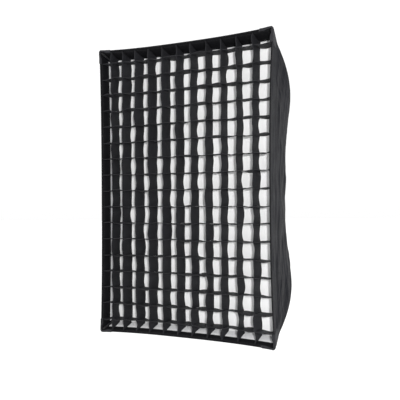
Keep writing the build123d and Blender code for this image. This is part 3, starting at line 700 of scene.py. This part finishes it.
def make_corner_patch(corner):
    """Reinforced pocket over the end of one rod: two flaps, a rounded corner and a turned front lip."""
    sx, sz = CORNERS[corner]
    walls = ("right" if sx > 0 else "left", "top" if sz > 0 else "bottom")
    radius = SEAM_RADIUS + 0.003
    flap = np.concatenate((np.linspace(1, 0.16, 16), np.linspace(0.13, 0, 3)))
    turn = np.linspace(0, math.pi / 2, 11)[1:-1]
    lip = np.array(((0.0, 0.0), (0.0014, 0.0006), (0.0020, 0.0022), (0.0020, 0.0045), (0.0016, 0.0080)))
    rows = []
    for back in np.concatenate((np.linspace(PATCH_REACH, 0.004, 14), [0.0015])):
        rows.append((RIM_Y + back, 0.0, back))
    for forward, inset in lip:
        rows.append((RIM_Y - forward, inset, 0.0))
    grid = []
    for y, inset, back in rows:
        shrink = 1 - 0.45 * smooth(0.6, 1.0, np.array(back / PATCH_REACH)) ** 2
        lift = -0.0010 + inset
        half_x, half_z = reach("side", y) - lift, reach("top", y) - lift
        width = (PATCH_REACH - radius) * shrink
        line = []
        for share in flap:
            z = half_z - radius - width * share + inset * 0.4
            bowed = bow(walls[0], z / reach("top", y)) + inset * 0.5 * smooth(0.2, 0.5, np.array(share))
            line.append((half_x - bowed, z))
        bend = radius - min(inset, radius * 0.7)
        for angle in turn:
            line.append((half_x - bend + bend * math.cos(angle), half_z - bend + bend * math.sin(angle)))
        for share in flap[::-1]:
            x = half_x - radius - width * share + inset * 0.4
            bowed = bow(walls[1], x / reach("side", y)) + inset * 0.5 * smooth(0.2, 0.5, np.array(share))
            line.append((x, half_z - bowed))
        grid.append([(sx * x, y, sz * z) for x, z in line])
    grid = np.array(grid, float)
    outward = np.array((sx, -0.2, sz), float)
    wrinkles = ripples(grid[..., 0] + grid[..., 2], grid[..., 1], 31 + sx + 2 * sz, 0.03)
    grid += 0.0003 * wrinkles[..., None] * outward
    mesh = Mesh()
    mesh.cloth(grid, 0.0018, outward=outward)
    name = "corner_patch_" + corner
    mesh.make(name, [PATCH], "softbox", "corner_patch_cloth", [name])
    stitches = Mesh()
    for column, side in ((1, OUT[walls[0]]), (-2, OUT[walls[1]])):
        line = grid[:15, column]
        stitch_row(stitches, line + side * 0.0010, side)
    for row in (1, 12):
        for part, side in ((slice(1, 17), OUT[walls[0]]), (slice(-17, -1), OUT[walls[1]])):
            line = grid[row, part]
            stitch_row(stitches, line + side * 0.0010, side)
    stitches.make("patch_stitches_" + corner, [THREAD_DARK], "softbox", "corner_patch_cloth")


def band_grid(wall, span, inset, room=None, half_length=None, step=0.006, rows=14):
    """Middle surface of a flat band on the hem, stopped clear of its neighbours or at a length."""
    kind = KIND[wall]
    back = np.linspace(span[0], span[1], rows)[:, None]
    out, forward = flat_direction(kind)
    y = RIM_Y - forward * back - out * inset
    limit = half_length if half_length else reach(OTHER[kind], y, room)
    count = int(2 * HALF[OTHER[kind]] / step)
    along = np.linspace(-1, 1, count)[None, :] * limit
    return hem_point(wall, along, back, inset), along, back


def make_loop_tapes(wall):
    """The two loop tapes inside a wall: one for the grid, one for the front diffuser."""
    name = "loop_tapes_" + wall
    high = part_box(name)[1]
    half_length = high[2] if KIND[wall] == "side" else high[0]
    mesh = Mesh()
    for span in LOOP_SPANS[KIND[wall]]:
        grid = band_grid(wall, span, CLOTH + TAPE / 2 + 0.0001, half_length=half_length, rows=5)[0]
        mesh.cloth(grid, TAPE, outward=-OUT[wall])
    mesh.make(name, [LOOP], "softbox", "hook_and_loop", [name])


# ---------------------------------------------------------------- grid and front diffuser
def settle(points):
    """Move points of the grid or the front diffuser with the bowed rim."""
    x, y, z = points[..., 0], points[..., 1], points[..., 2]
    share_x = np.clip(x / reach("side", y), -1, 1)
    share_z = np.clip(z / reach("top", y), -1, 1)
    side = np.where(x > 0, bow("right", share_z), bow("left", share_z))
    level = np.where(z > 0, bow("top", share_x), bow("bottom", share_x))
    moved_x = x - np.sign(x) * side * np.abs(share_x) ** END_CELL_POWER
    moved_z = z - np.sign(z) * level * np.abs(share_z) ** END_CELL_POWER
    return np.stack((moved_x, y, moved_z), -1)


def strip_wave(rng, places, crossings, depth):
    """Sideways buckling of a strip between its crossings; depth runs 0 at the front to 1 at the rear."""
    wave = np.zeros((len(depth), len(places)))
    shift = np.zeros_like(wave)
    for low, high in zip(crossings[:-1], crossings[1:]):
        inside = (places >= low) & (places <= high)
        share = (places[inside] - low) / (high - low)
        hump, swing = np.sin(math.pi * share), np.sin(2 * math.pi * share)
        belly, twist = rng.uniform(-0.0036, 0.0036), rng.uniform(-0.0034, 0.0034)
        second = rng.uniform(-0.0014, 0.0014)
        wave[:, inside] = hump * (belly + twist * (2 * depth[:, None] - 1)) + swing * second
        scallop = rng.uniform(0.0005, 0.0030)
        nip = rng.uniform(0.0, 0.0012)
        rear_edge, front_edge = smooth(0.5, 1.0, depth[:, None]), 1 - smooth(0.0, 0.4, depth[:, None])
        shift[:, inside] = hump * (-scallop * rear_edge + nip * front_edge)
    return wave, shift


def strip_lean(across, depth):
    """Sideways lean of the upright strip at `across`, -1 to 1, of the grid."""
    front = 1 - abs(across) ** (3 if across < 0 else 6) - 0.9 * smooth(0.75, 0.9, np.array(-across))
    rear = -0.0055 * (1 - abs(across) ** 4) - 0.0072 * across + 0.014 * smooth(0.75, 0.85, np.array(across))
    return rear * depth - STRIP_LEAN * front * (1 - depth)


def make_strips(upright):
    """All the upright or all the level strips, each slotted half way for the others."""
    kind, other = ("top", "side") if upright else ("side", "top")
    count, crossings_count = (COLUMNS, ROWS) if upright else (ROWS, COLUMNS)
    pitch, cross_pitch = (COLUMN_PITCH, ROW_PITCH) if upright else (ROW_PITCH, COLUMN_PITCH)
    depth = np.concatenate(([0, 0.04, 0.085, 0.10], np.linspace(0.16, 0.84, 9), [0.90, 0.915, 0.96, 1]))
    hemmed = (depth < 0.09) | (depth > 0.91)
    thickness = np.where(hemmed, STRIP_HEM, STRIP_CLOTH)[:, None]
    thickness[0] = thickness[-1] = STRIP_EDGE
    slotted = depth[:-1] >= 0.49 if upright else depth[1:] <= 0.51
    rng = random.Random(3 if upright else 8)
    mesh = Mesh()
    for k in range(1, count):
        nominal = (k - count / 2) * pitch + (STRIP_SHIFT if upright else 0.0)
        y = RIM_Y + STRIP_FRONT + depth * (STRIP_BACK - STRIP_FRONT)
        limit = reach(kind, y, BORDER_INSET + BORDER + 0.0004)
        crossings = cross_pitch * (np.arange(crossings_count + 1) - crossings_count / 2)
        crossings += 0.0 if upright else STRIP_SHIFT
        crossings[0], crossings[-1] = -limit.max(), limit.max()
        share = np.concatenate([
            np.linspace(low + 0.0008, high - 0.0008, 13) for low, high in zip(crossings[:-1], crossings[1:])
        ])
        wave, shift = strip_wave(rng, share, crossings, depth)
        places = np.clip(share[None, :], -limit[:, None], limit[:, None])
        uneven = rng.uniform(-0.0012, 0.0012)
        off = nominal + wave + uneven * np.cos(places / HALF[kind] * 3)
        if upright:
            off = off + strip_lean(nominal / HALF[other], depth[:, None])
        else:
            off = off - 0.0012 * np.sin(math.pi * (share - crossings[1]) / cross_pitch)[None, :] ** 2
        deep = y[:, None] + shift
        across, up = (off, places) if upright else (places, off)
        inner = reach(other, deep, BORDER_INSET + BORDER + 0.0020)
        grid = settle(np.stack(np.broadcast_arrays(
            np.clip(across, -inner, inner) if upright else across,
            deep,
            up if upright else np.clip(up, -inner, inner),
        ), -1))
        gap = np.zeros(len(share) - 1, bool)
        gap[12::13] = True
        kept = ~(slotted[:, None] & gap[None, :])
        mesh.cloth(grid, thickness, outward=np.array((1.0, 0, 0) if upright else (0, 0, 1.0)), kept=kept)
    name = "grid_upright_strips" if upright else "grid_level_strips"
    piece = mesh.make(name, [GRID], "grid", "grid_cloth", [name])


def make_border(prefix, wall, span, body, material, slot, thread):
    """Stiff edge band of the grid or of the front diffuser, hemmed and stitched along both edges."""
    name = prefix + wall
    grid, along, back = band_grid(wall, span, BORDER_INSET + BORDER / 2, CORNER_ROOM, step=0.005)
    outward = -OUT[wall]
    share = (back - span[0]) / (span[1] - span[0])
    belly = 0.0006 * ripples(along, back, 40 + list(OUT).index(wall), 0.06)
    grid = grid + (np.maximum(belly, -0.0001) * np.sin(math.pi * share))[..., None] * outward
    thick = np.where((share < 0.16) | (share > 0.84), 0.0021, 0.0014) * np.ones_like(along)
    mesh, stitches = Mesh(), Mesh()
    mesh.cloth(grid, thick, outward=outward)
    for row in (2, -3):
        line = grid[row] + outward * 0.0009
        stitch_row(stitches, line, outward)
    piece = mesh.make(name, [material], body, slot, [name])
    sewn = stitches.make(prefix + "stitches_" + wall, [thread], body, slot)
    return [piece, sewn]


def make_front_diffuser():
    low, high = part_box("front_diffuser")
    y = (low.y + high.y) / 2
    pitch = 0.006
    x = np.linspace(low.x, high.x, int((high.x - low.x) / pitch))
    z = np.linspace(low.z, high.z, int((high.z - low.z) / pitch))
    flat = np.stack(np.meshgrid(z, [y], x, indexing="ij")[::-1], -1)[:, 0]
    grid = settle(flat)
    share_x, share_z = flat[..., 0] / high.x, flat[..., 2] / high.z
    free = (1 - np.abs(share_x) ** 6) * (1 - np.abs(share_z) ** 6)
    sag = 0.006 * (1 - share_x**2) * (1 - share_z**2)
    folds = 0.0020 * ripples(flat[..., 0], flat[..., 2] * 0.25, 61, 0.22)
    for sx in (-1, 1):
        for sz in (-1, 1):
            near = np.hypot(high.x - sx * flat[..., 0], high.z - sz * flat[..., 2])
            angle = np.arctan2(high.z - sz * flat[..., 2], high.x - sx * flat[..., 0])
            folds = folds + 0.003 * fan(near, angle, 70 + sx + 3 * sz, 9)
    grid[..., 1] += np.maximum(sag + folds, 0.0) * free
    centre_x = np.abs(flat[:-1, :-1, 0] + flat[1:, 1:, 0]) / 2
    centre_z = np.abs(flat[:-1, :-1, 2] + flat[1:, 1:, 2]) / 2
    kept = ~((centre_x > high.x - CORNER_ROOM) & (centre_z > high.z - CORNER_ROOM))
    mesh = Mesh()
    mesh.cloth(grid, 0.001, outward=-BACKWARD, kept=kept)
    name = "front_diffuser"
    piece = mesh.make(name, [DIFFUSER], name, "front_diffuser_cloth", [name])
    edges = []
    for wall in OUT:
        edges += make_border("diffuser_border_", wall, DIFFUSER_SPANS[wall], "front_diffuser", WHITE_HOOK,
                             "white_hook_tape", THREAD_LIGHT)


def make_grid():
    for wall in OUT:
        make_border("grid_border_", wall, GRID_SPANS[wall], "grid", GRID_EDGE_SHADED_CLOTH, "grid_edge_cloth", THREAD_DARK)
    make_strips(True)
    make_strips(False)


# ---------------------------------------------------------------- inner diffuser
def make_inner_diffuser():
    low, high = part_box("inner_diffuser")
    y = (low.y + high.y) / 2
    x = np.linspace(low.x, high.x, 86)
    z = np.linspace(low.z, high.z, 116)
    flat = np.stack(np.meshgrid(z, [y], x, indexing="ij")[::-1], -1)[:, 0]
    share_x, share_z = flat[..., 0] / high.x, flat[..., 2] / high.z

    def hang(share_x, share_z, points):
        """Edges draw in between the corners, and the middle sags a little."""
        moved = points.copy()
        moved[..., 0] -= np.sign(share_x) * 0.010 * (1 - share_z**2) * np.abs(share_x) ** 4
        moved[..., 2] -= np.sign(share_z) * 0.012 * (1 - share_x**2) * np.abs(share_z) ** 4
        sag = 0.008 * (1 - share_x**2) * (1 - share_z**2)
        moved[..., 1] += sag + 0.0015 * ripples(points[..., 0], points[..., 2], 83, 0.2) * (1 - share_x**4)
        return moved

    mesh = Mesh()
    mesh.cloth(hang(share_x, share_z, flat), 0.001, outward=-BACKWARD)
    piece = mesh.make("inner_diffuser", [INNER], "inner_diffuser", "inner_diffuser_cloth", ["inner_diffuser"])

    binding, stitches = Mesh(), Mesh()
    band = 0.018
    for upright in (True, False):
        limit, reach_along = (high.x, high.z) if upright else (high.z, high.x)
        for side in (-1, 1):
            inner = np.linspace(limit - band, limit, 6)[:, None] * side
            stop = reach_along if upright else reach_along - band
            along = np.linspace(-stop, stop, 120)[None, :]
            inner, along = np.broadcast_arrays(inner, along)
            points = np.stack((inner, np.full_like(inner, high.y + 0.0006), along), -1)
            if not upright:
                points = points[..., (2, 1, 0)]
            points = hang(points[..., 0] / high.x, points[..., 2] / high.z, points)
            binding.cloth(points, 0.0012, outward=BACKWARD)
            for row in (1, 4):
                line = points[row] + BACKWARD * 0.0008
                stitch_row(stitches, line, BACKWARD)
    bound = binding.make("inner_diffuser_binding", [WHITE_BINDING], "inner_diffuser", "white_binding",
                         ["inner_diffuser_binding"])
    sewn = stitches.make("inner_diffuser_stitches", [THREAD_LIGHT], "inner_diffuser", "white_binding")


TAB_TAPER, TAB_CLEAR = 0.016, 0.003          # the tab narrows into its seam


def tie_frame(node):
    """Ends, width and y range of the strap in the +X +Z quarter of a CAD node."""
    points = np.array([v.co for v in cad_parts[node].data.vertices])
    points = points[(points[:, 0] > 0) & (points[:, 2] > 0)]
    flat = points[:, (0, 2)]
    seam = seam_points(400)
    anchor = seam[np.argmin(np.abs(seam[:, 1] - points[:, 1].mean()))][[0, 2]]
    corner = np.array((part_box("inner_diffuser")[1].x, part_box("inner_diffuser")[1].z))
    heading = (anchor - corner) / np.linalg.norm(anchor - corner)
    places = (flat - corner) @ heading
    return corner, heading, places.min(), places.max(), points[:, 1].min(), points[:, 1].max()


def make_ties():
    """Elastic straps of the inner diffuser and the webbing tabs that they snap on to."""
    width = 0.020
    for node, material, body, slot in (
        ("elastic_straps", ELASTIC, "inner_diffuser", "elastic"),
        ("strap_tabs", WEBBING, "softbox", "webbing"),
    ):
        corner, heading, start, end, low_y, high_y = tie_frame(node)
        end -= TAB_CLEAR if node == "strap_tabs" else 0.0
        across = np.array((-heading[1], heading[0]))
        thickness = (high_y - low_y) * 0.92
        step = np.linspace(start, end, 40)[:, None]
        side = np.linspace(-width / 2, width / 2, 9)[None, :]
        mesh, stitches = Mesh(), Mesh()
        for sx, sz in CORNERS.values():
            taper = 1 - 0.75 * smooth(end - TAB_TAPER, end, step) * (node == "strap_tabs")
            flat = corner + step[..., None] * heading + (side * taper)[..., None] * across
            middle = np.full(flat.shape[:2], (low_y + high_y) / 2)
            grid = np.stack((flat[..., 0] * sx, middle, flat[..., 1] * sz), -1)
            stretched = 0.0003 * np.sin((step - start) / (end - start) * math.pi * 7)
            grid[..., 1] += stretched
            mesh.cloth(grid, thickness, outward=-BACKWARD)
            for column in (1, 7):
                line = grid[2:-2, column] - BACKWARD * thickness / 2
                stitch_row(stitches, line, -BACKWARD)
        mesh.make(node, [material], body, slot, [node])
        thread = THREAD_LIGHT if node == "elastic_straps" else THREAD_DARK
        stitches.make(node + "_stitches", [thread], body, slot)


# ---------------------------------------------------------------- collar round the speedring
def make_collar():
    """Cloth collar: a square skirt sewn to the shell, gathered in to an elastic hem on the speedring."""
    low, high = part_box("rear_collar")
    half, rear, front = high.x, high.y, low.y
    turn = np.linspace(0, 2 * math.pi, 320, endpoint=False)
    hole = min(math.hypot(v.co.x, v.co.z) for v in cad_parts["rear_collar"].data.vertices)
    cosine, sine = np.cos(turn), np.sin(turn)
    power = 9
    square = half / (np.abs(cosine) ** power + np.abs(sine) ** power) ** (1 / power)
    gathers = ripples(cosine, sine, 91, 0.09) + np.sin(turn * 44 + 1.5 * np.sin(turn * 3))
    rows = []
    for share, depth in ((0, 0.0), (0, 0.25), (0.01, 0.6), (0.04, 0.85), (0.12, 0.97)):
        rows.append((share, front + (rear - front) * depth - CLOTH / 2, 0.0002))
    for share in np.linspace(0.2, 1.0, 12):
        rows.append((share, rear - CLOTH / 2, 0.0008 * share))
    grid = []
    for share, y, pucker in rows:
        radius = (square - CLOTH / 2) * (1 - share) + (hole + 0.0012) * share
        grid.append(np.stack((radius * cosine, y + pucker * (gathers - 0.5) * 0.5, radius * sine), -1))
    grid = np.array(grid)
    grid[..., 1] = np.minimum(grid[..., 1], rear + 0.0003)
    mesh = Mesh()
    mesh.cloth(grid, CLOTH * 0.8, outward=BACKWARD, loop=True)
    piece = mesh.make("rear_collar", [COLLAR], "softbox", "collar_cloth", ["rear_collar"])
    bead = Mesh()
    hem = np.stack(((hole + 0.0020) * cosine, np.full_like(turn, rear - 0.0004), (hole + 0.0020) * sine), -1)
    swell = 0.0016 + 0.0003 * gathers
    section = round_section(1.0, 10)
    outward = np.stack((cosine, np.zeros_like(turn), sine), -1)
    rings = hem[:, None] + outward[:, None] * section[None, :, :1] * swell[:, None, None]
    rings = rings + BACKWARD * section[None, :, 1:] * swell[:, None, None]
    bead.bar(np.concatenate((rings, rings[:1])), closed_ends=False)
    elastic = bead.make("collar_elastic_hem", [COLLAR], "softbox", "collar_cloth")
    stitches = Mesh()
    loop = np.vstack((grid[8], grid[8][:1])) + BACKWARD * CLOTH / 2
    stitch_row(stitches, loop, BACKWARD)
    sewn = stitches.make("collar_stitches", [THREAD_DARK], "softbox", "collar_cloth")


# ---------------------------------------------------------------- camera, light and floor
LENS, SENSOR = 59.8, 36.0                    # millimetres, as Blender counts them
CAMERA_AZIMUTH, CAMERA_ELEVATION, CAMERA_ROLL = 28.535, -0.304, math.radians(-0.353)
CAMERA_DISTANCE, CAMERA_ASIDE, CAMERA_DOWN = 2.6504, 0.0757, 0.0422
KEY_SIZE, KEY_ENERGY, KEY_PLACE = 0.30, 115, (2.3, -3.9, 0.3)
SKY_HEIGHTS, SKY_STRENGTHS = (-0.6, 0.8), (0.75, 1.35)
FLOOR_RADIUS, FLOOR_PLACE = 60, (0, -0.3, -1.3)


def look(piece, back, roll):
    """Turn a camera or light so that it looks along -back."""
    back = back.normalized()
    right = Vector((0, 0, 1)).cross(back).normalized()
    up = back.cross(right)
    turned = Matrix((
        right * math.cos(roll) + up * math.sin(roll),
        up * math.cos(roll) - right * math.sin(roll),
        back,
    )).transposed()
    piece.rotation_euler = turned.to_euler()
    return right, up


def towards(azimuth, elevation):
    """Unit vector from the object to a viewer at that azimuth and elevation."""
    azimuth, elevation = math.radians(azimuth), math.radians(elevation)
    flat = math.cos(elevation)
    return Vector((math.sin(azimuth) * flat, -math.cos(azimuth) * flat, math.sin(elevation)))


def make_camera():
    data = bpy.data.cameras.new("camera")
    data.lens, data.sensor_width = LENS, SENSOR
    data.clip_end = 50
    camera = bpy.data.objects.new("camera", data)
    bpy.context.scene.collection.objects.link(camera)
    back = towards(CAMERA_AZIMUTH, CAMERA_ELEVATION)
    right, up = look(camera, back, CAMERA_ROLL)
    rim_centre = Vector((0, RIM_Y, 0))
    camera.location = rim_centre + back * CAMERA_DISTANCE + right * CAMERA_ASIDE - up * CAMERA_DOWN
    bpy.context.scene.camera = camera


def make_light():
    key = bpy.data.lights.new("key", "AREA")
    key.shape, key.size, key.energy = "DISK", KEY_SIZE, KEY_ENERGY
    lamp = bpy.data.objects.new("key", key)
    bpy.context.scene.collection.objects.link(lamp)
    lamp.location = KEY_PLACE
    look(lamp, Vector(lamp.location) - Vector((0, RIM_Y, 0)), 0)

    world = bpy.data.worlds.new("studio")
    bpy.context.scene.world = world
    world.use_nodes = True
    nodes, links = world.node_tree.nodes, world.node_tree.links
    split = nodes.new("ShaderNodeSeparateXYZ")
    links.new(nodes.new("ShaderNodeTexCoord").outputs["Generated"], split.inputs[0])
    height = nodes.new("ShaderNodeMapRange")
    for socket, value in zip((1, 2, 3, 4), SKY_HEIGHTS + SKY_STRENGTHS):
        height.inputs[socket].default_value = value
    links.new(split.outputs[2], height.inputs[0])
    links.new(height.outputs[0], nodes["Background"].inputs["Strength"])
    nodes["Background"].inputs["Color"].default_value = (1, 1, 1, 1)


def make_floor():
    paint = Paint("studio_floor", Specular_IOR_Level=0.1, Roughness=0.9)
    colour = paint.tones(paint.noise(2.0, 2.0), (0.93, 0.93, 0.93), (0.95, 0.95, 0.95))
    paint.finish(Base_Color=colour)
    bpy.ops.mesh.primitive_circle_add(vertices=96, radius=FLOOR_RADIUS, fill_type="NGON", location=FLOOR_PLACE)
    floor = bpy.context.active_object
    floor.name = "floor"
    floor.data.materials.append(paint.material)


make_camera()
make_light()
make_floor()
bpy.context.scene.view_settings.view_transform = "Standard"
finish_cad_nodes()
for wall in OUT:
    make_panel(wall)
    make_rim_binding(wall)
    make_loop_tapes(wall)
for corner in CORNERS:
    make_corner_patch(corner)
    make_seam_piping(corner)
make_grid()
make_front_diffuser()
make_inner_diffuser()
make_ties()
make_collar()
